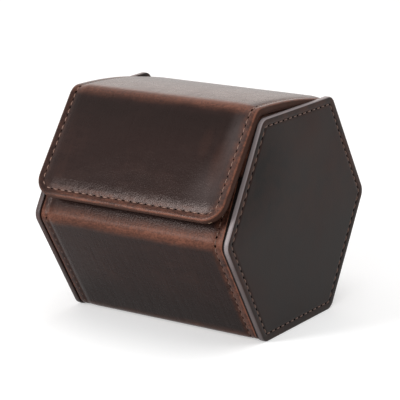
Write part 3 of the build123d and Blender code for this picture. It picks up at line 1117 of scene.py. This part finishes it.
class WATCHCASE_OT_body(bpy.types.Operator):
    """Add the body's leather with its turned lip and stitching, and its suede lining"""

    bl_idname = "watch_case.body"
    bl_label = "Body"

    def execute(self, context):
        case, stitch = sizes("case"), sizes("stitch")
        lip_turn = 1.6 * MM
        section = body_section(BODY, case.bend, lip_turn)
        wrap = bent_sheet("body_wrap", section, BODY_HALF, 8)
        press_rim(wrap, BODY_RIM)
        top, outward = section.at(0.0)[0], direction(UPPER_FRONT)
        hem = BODY - lip_turn - INSIDE
        with editing(wrap, "EDGE", lambda edge: all_near(wrap, edge, top)):
            bpy.ops.mesh.spin(steps=5, angle=QUARTER, center=top - lip_turn * outward, axis=(1, 0, 0))
            bpy.ops.mesh.extrude_region_move(TRANSFORM_OT_translate={"value": -hem * outward})
        face_out(wrap, top + 0.03 * direction(UPPER_FRONT + QUARTER), outward)
        thicken(wrap, case.leather, case.edge, 0.2 * MM)
        mark(wrap, sheet_pattern(section, BODY_HALF))
        smooth(wrap)
        folds = [leg[0] + leg[3] / 2 for leg in section.legs if leg[4]]
        bends = rubbed_bends(folds, BODY_RUB)
        # The rims stay dark up to the flap's front edge: painted shade under the flap.
        shelter = folds[0] - sizes("flap").shortfall
        # The seam is a painted shadow along the rim beside the right end panel.
        leather = once(
            waxed_leather, "body leather", bends, shelter=shelter, shine=0.115, seam=0.55 * MM,
            row=stitch.body_inset, lag=stitch.body_inset - stitch.left_inset,
            deep=tuple(folds[1] + step * MM for step in BODY_PAINTED_SHADE),
        )
        dress(wrap, leather)
        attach(wrap, "case")
        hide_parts("body_leather")

        stitches = one_stitch("worn thread", 0.75)
        inset = stitch.body_inset
        spots = row_in_box(
            stitch.left_inset - BODY_HALF, BODY_HALF - inset, inset, section.length - inset
        )
        row = stitch_row("body_stitches", stitches, spots, on_sheet(section, GROOVE))
        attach(row, "case")
        bpy.data.objects.remove(stitches)

        inner = body_section(BODY - case.leather - case.board, 2 * case.lining, case.leather)
        lining = bent_sheet("body_suede", inner, BODY_HALF, 6)
        thicken(lining, case.lining, 0.0, 0.2 * MM)
        smooth(lining)
        dress(lining, once(suede, "suede"))
        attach(lining, "case")
        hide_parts("body_lining")
        for side in ("left", "right"):
            patch = from_solid(side + "_end_lining", side + "_end_suede", 0.3 * MM)
            dress(patch, once(suede, "suede"))
            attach(patch, "case")
            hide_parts(side + "_end_lining")
        return {"FINISHED"}


HINGE_BEND = (TAIL + 0.8 * MM, TAIL + 9.8 * MM)  # where the flap's leather bends at its hinge


def hinge_blend(piece, section):
    """Puts a piece's place into its mesh; where the leather hinge bends, between the case and the
    flap's top, is found but not used.
    """
    begin, end = (section.at(place)[0] for place in HINGE_BEND)
    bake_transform(piece)


def crease_blend(piece, section):
    """Puts a piece's place into its mesh; where the flap bends at its crease, between its top and its
    front, is found but not used.
    """
    crease = section.legs[-2]
    begin = section.at(crease[0] - 1.0 * MM)[0]
    end = section.at(crease[0] + crease[3] + 1.0 * MM)[0]
    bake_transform(piece)


def halves(piece, section, back_name, front_name):
    """Cuts a flap layer across its top into a back half and a front half."""
    where = section.legs[-2][0] - sizes("flap").split
    point, heading = section.at(where)
    front = twin(piece, front_name)
    piece.name = piece.data.name = back_name
    cut(piece, point, direction(heading), keep_outside=False)
    cut(front, point, direction(heading), keep_outside=True)
    return piece, front


class WATCHCASE_OT_flap(bpy.types.Operator):
    """Add the flap's leather with its hinge and stitching, and its suede lining"""

    bl_idname = "watch_case.flap"
    bl_label = "Flap"

    def execute(self, context):
        case, flap, stitch = sizes("case"), sizes("flap"), sizes("stitch")
        section = flap_section()
        split = section.legs[-2][0] - flap.split
        leather_depth = case.leather + flap.board
        wrap = bent_sheet("flap_wrap", section, FLAP_HALF, 8)
        round_corners(wrap, section.end, flap.corner, 10)
        press_rim(wrap, STITCHED_RIM)
        thicken(wrap, leather_depth, case.edge, 0.3 * MM)
        seam, heading = section.at(TAIL)
        cut(wrap, seam, direction(heading), keep_outside=True)
        back, front = halves(wrap, section, "flap_back_leather", "flap_front_leather_wrap")
        hinge, crease = (leg[0] + leg[3] / 2 for leg in (section.legs[1], section.legs[-2]))
        bends = rubbed_bends((hinge, crease), FLAP_RUB)
        crease_end = section.legs[-1][0]
        leather = once(
            waxed_leather, "flap leather", bends, rim_rub=0.9, shine=0.175,
            patches=ovals(FLAP_RUB_AND_SHEEN_STREAKS, crease_end), blooms=ovals(FLAP_PAINTED_SHEENS, crease_end),
            deep=tuple(crease + step * MM for step in FLAP_PAINTED_SHADE),
        )
        for piece in (back, front):
            mark(piece, sheet_pattern(section, FLAP_HALF, flap.corner, seam=False))
            smooth(piece)
            dress(piece, leather)
        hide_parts("hinge_leather", "flap_top_leather")
        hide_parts("flap_crease_leather", "flap_front_leather")
        hinge_blend(back, section)
        crease_blend(front, section)

        inner = lining_section()
        suede_sheet = bent_sheet("flap_suede", inner, FLAP_HALF - 0.1 * MM, 6)
        round_corners(suede_sheet, inner.end, flap.corner, 10)
        thicken(suede_sheet, case.lining, 0.3 * MM, 0.25 * MM, steps=2)
        linings = halves(suede_sheet, inner, "flap_back_suede", "flap_front_suede")
        cut_edge = once(
            plain_stock, "dyed edge", sizes("colours").cut, 1200.0, 0.03 * MM, 0.6, 0.0, 0.12
        )
        for piece in linings:
            smooth(piece)
            dress(piece, once(suede, "suede"), cut_edge)
            for face in piece.data.polygons:
                at_side = FLAP_HALF - 0.5 * MM < abs(face.center.x)
                at_front = section.length - section.locate(face.center) < 0.5 * MM
                face.material_index = int(at_side or at_front or abs(face.normal.x) > 0.4)
        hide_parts("hinge_lining", "flap_top_lining")
        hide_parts("flap_crease_lining", "flap_front_lining")
        hinge_blend(linings[0], section)
        crease_blend(linings[1], section)

        stitches = one_stitch()
        side, inset = FLAP_HALF - stitch.inset, stitch.inset
        outside = row_in_box(
            -side, side, TAIL + stitch.seam_inset, section.length - inset, flap.corner - inset
        )
        inside = [pair for pair in outside if pair[0].y > TAIL + 12 * MM]
        under = -(leather_depth + case.lining)
        for name, spots, place in (
            ("outer", outside, on_sheet(section, GROOVE)),
            ("inner", inside, on_sheet(section, under, -1)),
        ):
            behind = [pair for pair in spots if pair[0].y <= split]
            ahead = [pair for pair in spots if pair[0].y > split]
            row = stitch_row(f"flap_back_{name}_stitches", stitches, behind, place)
            hinge_blend(row, section)
            row = stitch_row(f"flap_front_{name}_stitches", stitches, ahead, place)
            crease_blend(row, section)
        bpy.data.objects.remove(stitches)
        return {"FINISHED"}


class WATCHCASE_OT_rails(bpy.types.Operator):
    """Add the leather-covered rails beside the opening"""

    bl_idname = "watch_case.rails"
    bl_label = "Rails"

    def execute(self, context):
        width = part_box("right_rail")[1].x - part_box("right_rail")[0].x
        reach, end_height = 0.7 * MM, 2 * MM  # the rails' lower ends go on past the CAD's

        def pattern(point):
            outer = BODY_HALF - abs(point.x)
            return point.x, point.y - point.z, max(min(outer, width - outer), 0.0)

        for side in ("left", "right"):
            rail = from_solid(side + "_rail", side + "_leather_rail", 0.7 * MM, steps=3)
            lowest = min(vertex.co.z for vertex in rail.data.vertices) + end_height
            with editing(rail, "VERT", lambda vertex: vertex.co.z < lowest):
                bpy.ops.transform.translate(value=reach * direction(UPPER_FRONT + QUARTER))
            mark(rail, pattern)
            # Its rim_rub also sets the painted highlight line along the rails' edges.
            dress(rail, once(waxed_leather, "rail leather", [], 0.45))
            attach(rail, "case")
            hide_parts(side + "_rail")
        return {"FINISHED"}


class WATCHCASE_OT_catch(bpy.types.Operator):
    """Add the leather-covered magnetic catch on the lip"""

    bl_idname = "watch_case.catch"
    bl_label = "Catch"

    def execute(self, context):
        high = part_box("catch_cover")[1]
        section = flap_section()
        points = [vertex.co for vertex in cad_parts["catch_cover"].data.vertices]
        near = [section.locate(point) for point in points]
        top, bottom = min(near), max(near)

        def pattern(point):
            along = section.locate(point)
            rim = min(high.x - abs(point.x), along - top, bottom - along)
            return point.x, along, max(rim, 0.0)

        for node, name in (("catch_block", "catch_wedge"), ("catch_cover", "catch_top")):
            piece = from_solid(node, name, 0.35 * MM, steps=3)
            mark(piece, pattern)
            dress(piece, once(waxed_leather, "rail leather", [], 0.45))
            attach(piece, "case")
            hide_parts(node)
        middle, heading = section.at((top + bottom) / 2)
        outward = outward_of(heading)
        face = max((point - middle).dot(outward) for point in points)
        inset = 2.0 * MM
        side = high.x - inset
        stitches = one_stitch()
        spots = row_in_box(-side, side, top + inset, bottom - inset)
        row = stitch_row("catch_stitches", stitches, spots, on_sheet(section, face - 0.1 * MM))
        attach(row, "case")
        bpy.data.objects.remove(stitches)
        return {"FINISHED"}


class WATCHCASE_OT_cushion(bpy.types.Operator):
    """Add the padded suede cushion with piping round its ends"""

    bl_idname = "watch_case.cushion"
    bl_label = "Cushion"

    def execute(self, context):
        case = sizes("case")
        low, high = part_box("left_cushion_cap")[0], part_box("right_cushion_cap")[1]
        centre, span = (low + high) / 2, high - low
        start = 0.96  # share of its full size before the filling swells it
        bpy.ops.object.select_all(action="DESELECT")
        bpy.ops.mesh.primitive_cube_add(size=1, location=centre)
        cushion = fresh("cushion_pad", span * start)
        with editing(cushion, "EDGE", lambda edge: runs_along_case(cushion, edge)):
            bpy.ops.mesh.bevel(offset=case.cushion_corner, segments=8, affect="EDGES")
            select(cushion, "EDGE", lambda edge: at_end(cushion, edge))
            bpy.ops.mesh.bevel(offset=5 * MM, segments=4, affect="EDGES")
        modify(cushion, "REMESH", mode="VOXEL", voxel_size=3.5 * MM, use_smooth_shade=True)
        puff(cushion, pressure=3.0, cap=3.0 * MM)
        modify(cushion, "SUBSURF", levels=1, render_levels=1)
        fit(cushion, low, high)
        smooth(cushion, 180)
        dress(cushion, once(suede, "suede"))
        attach(cushion, "cushion")
        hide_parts("cushion_cover", "left_cushion_cap", "right_cushion_cap")
        core = twin(cushion, "cushion_filling")
        margin = Vector((1.5 * MM,) * 3)
        fit(core, low + margin, high - margin)
        shade = sizes("colours").foam
        foam = once(plain_stock, "foam", shade, grain=700.0, depth=0.2 * MM, rough=0.9)
        dress(core, foam)
        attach(core, "cushion")
        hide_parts("cushion_core")
        for side, name in ((-1, "left"), (1, "right")):
            place = centre.x + side * (span.x / 2 - 7 * MM)
            welt = piping(cushion, name + "_cushion_piping", place, centre)
            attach(welt, "cushion")
        return {"FINISHED"}


def runs_along_case(piece, edge):
    """Whether an edge runs along X."""
    first, second = (piece.data.vertices[index].co for index in edge.vertices)
    return abs(first.x - second.x) > 10 * MM


def at_end(piece, edge):
    """Whether an edge lies in one of the two end faces."""
    limit = max(vertex.co.x for vertex in piece.data.vertices) - TOUCH
    return all(abs(piece.data.vertices[index].co.x) > limit for index in edge.vertices)


def puff(piece, pressure, cap):
    """Swells a pad with simulated cloth, each point by no more than the cap."""
    before = [vertex.co.copy() for vertex in piece.data.vertices]
    cloth = piece.modifiers.new("Filling", "CLOTH")
    cloth.settings.quality = 6
    cloth.settings.use_pressure = True
    cloth.settings.uniform_pressure_force = pressure
    cloth.settings.effector_weights.gravity = 0.0
    cloth.settings.tension_stiffness = 20
    cloth.settings.compression_stiffness = 20
    cloth.collision_settings.use_collision = False
    cloth.point_cache.frame_start = 1
    cloth.point_cache.frame_end = 20
    for step in range(1, 21):
        bpy.context.scene.frame_set(step)
    alone(piece)
    bpy.ops.object.modifier_apply(modifier=cloth.name)
    for vertex, rest in zip(piece.data.vertices, before):
        move = vertex.co - rest
        if move.length > cap:
            vertex.co = rest + move * (cap / move.length)
    bpy.context.scene.frame_set(1)


def fit(piece, low, high):
    """Scales a piece's mesh into a box."""
    points = [vertex.co for vertex in piece.data.vertices]
    least = Vector(min(point[axis] for point in points) for axis in range(3))
    most = Vector(max(point[axis] for point in points) for axis in range(3))
    for vertex in piece.data.vertices:
        vertex.co = Vector(
            low[axis] + (vertex.co[axis] - least[axis]) / (most[axis] - least[axis])
            * (high[axis] - low[axis])
            for axis in range(3)
        )
    piece.data.update()


def piping(cushion, name, place, centre):
    """A piped seam round a pad at one place along the case."""
    steps = 48
    line = bpy.data.curves.new(name, "CURVE")
    line.dimensions = "3D"
    line.bevel_depth = sizes("case").piping
    line.bevel_resolution = 3
    spline = line.splines.new("POLY")
    spline.points.add(steps - 1)
    spline.use_cyclic_u = True
    for index, point in enumerate(spline.points):
        arm = direction(2 * math.pi * index / steps)
        origin = Vector((place, centre.y, centre.z))
        hit, where, _, _ = cushion.ray_cast(origin + 0.1 * arm, -arm)
        if not hit:
            raise RuntimeError("the piping found no cushion to follow")
        point.co = (*(where - 0.7 * line.bevel_depth * arm), 1.0)
    welt = bpy.data.objects.new(name, line)
    bpy.context.scene.collection.objects.link(welt)
    alone(welt)
    bpy.ops.object.convert(target="MESH")
    welt = bpy.context.object
    smooth(welt, 180)
    dress(welt, once(suede, "suede"))
    return welt


class WATCHCASE_OT_inner_parts(bpy.types.Operator):
    """Give the boards, magnets and filling their materials"""

    bl_idname = "watch_case.inner_parts"
    bl_label = "Boards, Magnets and Filling"

    def execute(self, context):
        colours = sizes("colours")
        board = plain_stock("grey board", colours.board, grain=900.0, depth=0.05 * MM, rough=0.8)
        magnet = plain_stock(
            "plated magnet", colours.magnet, grain=400.0, depth=0.01 * MM, rough=0.3, metal=1.0
        )
        for name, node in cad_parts.items():
            dress(node, magnet if "magnets" in name else board)
        return {"FINISHED"}


# --- Stage ---


# Each lamp's name, size in metres, power in watts, tint and place.
LAMPS = (
    ("overhead", (0.9, 0.7), 3.9, (1.0, 1.0, 1.0), (0.22, 0.10, 0.9)),
    ("behind", (0.7, 0.45), 0.94, (1.0, 0.76, 0.66), (-0.63, 0.76, 0.38)),
    ("window", (0.30, 0.42), 8.4, (1.0, 1.0, 1.0), (-0.41, -0.84, 0.39)),
)


def lamp(name, size, power, tint, place, aim):
    """A square soft lamp that looks at a point."""
    light = bpy.data.lights.new(name, "AREA")
    light.shape = "RECTANGLE"
    light.size, light.size_y = size
    light.energy = power
    light.color = tint
    holder = bpy.data.objects.new(name, light)
    bpy.context.scene.collection.objects.link(holder)
    holder.location = place
    holder.rotation_euler = (Vector(aim) - Vector(place)).to_track_quat("-Z", "Y").to_euler()


class WATCHCASE_OT_stage(bpy.types.Operator):
    """Add the floor, the room's light, the lamps and the camera"""

    bl_idname = "watch_case.stage"
    bl_label = "Stage"

    def execute(self, context):
        stage = sizes("stage")
        scene = bpy.context.scene
        scene.view_settings.view_transform = "Standard"

        bpy.ops.object.select_all(action="DESELECT")
        bpy.ops.mesh.primitive_plane_add(size=6)
        floor = fresh("floor")
        dress(floor, self.floor_finish())
        self.room(scene, stage.sky)
        centre = (0, 0, MIDDLE)
        for settings in LAMPS:
            lamp(*settings, centre)

        back = Vector(
            (
                math.sin(stage.azimuth) * math.cos(stage.elevation),
                -math.cos(stage.azimuth) * math.cos(stage.elevation), math.sin(stage.elevation),
            )
        )
        level = Vector((math.cos(stage.azimuth), math.sin(stage.azimuth), 0))
        rise = back.cross(level)
        right = level * math.cos(stage.roll) + rise * math.sin(stage.roll)
        up = back.cross(right)
        data = bpy.data.cameras.new("camera")
        data.lens = stage.lens
        data.clip_start = 0.01
        camera = bpy.data.objects.new("camera", data)
        scene.collection.objects.link(camera)
        camera.matrix_world = Matrix.Translation(
            Vector(centre)
            + back * stage.distance
            + right * stage.shift_right
            + up * stage.shift_up
        ) @ Matrix((right, up, back)).transposed().to_4x4()
        scene.camera = camera
        return {"FINISHED"}

    def floor_finish(self):
        """White floor that keeps its shadow and shows white to the camera and in gloss."""
        finish = Finish("floor")
        finish.set(Base_Color=(0.8, 0.8, 0.8), Roughness=0.9, Specular_IOR_Level=0.1)
        white = finish.seen("Camera", "Glossy", "Transmission") * 0.29  # added to the lamps' light
        glow = finish.node("ShaderNodeEmission", inputs={0: (1.0, 1.0, 1.0), 1: white})
        both = finish.node("ShaderNodeAddShader", inputs={0: glow})
        adder, surface = both.socket.node, finish.tree.nodes["Material Output"].inputs["Surface"]
        finish.tree.links.new(finish.shader.outputs[0], adder.inputs[1])
        finish.tree.links.new(adder.outputs[0], surface)
        return finish.material

    def room(self, scene, strength):
        """Even light all round, which the camera and gloss see as white."""
        finish = Finish("room", "worlds")
        scene.world = finish.material
        seen = {"Value": finish.seen("Camera", "Glossy"), "To Min": strength, "To Max": 1.0}
        finish.set(Color=(1.0, 1.0, 1.0), Strength=finish.node("ShaderNodeMapRange", inputs=seen))


class WATCHCASE_PT_pieces(bpy.types.Panel):
    """Lists the pieces of the watch case in the sidebar"""

    bl_idname = "WATCHCASE_PT_pieces"
    bl_label = "Watch Case"
    bl_space_type = "VIEW_3D"
    bl_region_type = "UI"
    bl_category = "Watch Case"

    def draw(self, context):
        for operator in OPERATORS:
            self.layout.operator(operator.bl_idname)


GROUPS = {
    "case": CaseSizes, "flap": FlapSizes, "stitch": StitchSizes, "colours": Colours,
    "stage": StageSettings,
}
OPERATORS = (
    WATCHCASE_OT_inner_parts,
    WATCHCASE_OT_end_panels,
    WATCHCASE_OT_body,
    WATCHCASE_OT_flap,
    WATCHCASE_OT_rails,
    WATCHCASE_OT_catch,
    WATCHCASE_OT_cushion,
    WATCHCASE_OT_stage,
)


def register():
    """Registers the settings, the operators and the panel."""
    for name, group in GROUPS.items():
        bpy.utils.register_class(group)
        setattr(bpy.types.Scene, "watch_case_" + name, PointerProperty(type=group))
    for made in (*OPERATORS, WATCHCASE_PT_pieces):
        bpy.utils.register_class(made)


def unregister():
    """Removes everything that register added."""
    for made in (WATCHCASE_PT_pieces, *reversed(OPERATORS)):
        bpy.utils.unregister_class(made)
    for name, group in GROUPS.items():
        delattr(bpy.types.Scene, "watch_case_" + name)
        bpy.utils.unregister_class(group)


def main():
    """Builds every piece and the stage."""
    register()
    for operator in OPERATORS:
        group, name = operator.bl_idname.split(".")
        getattr(getattr(bpy.ops, group), name)()


if __name__ == "__main__":
    main()
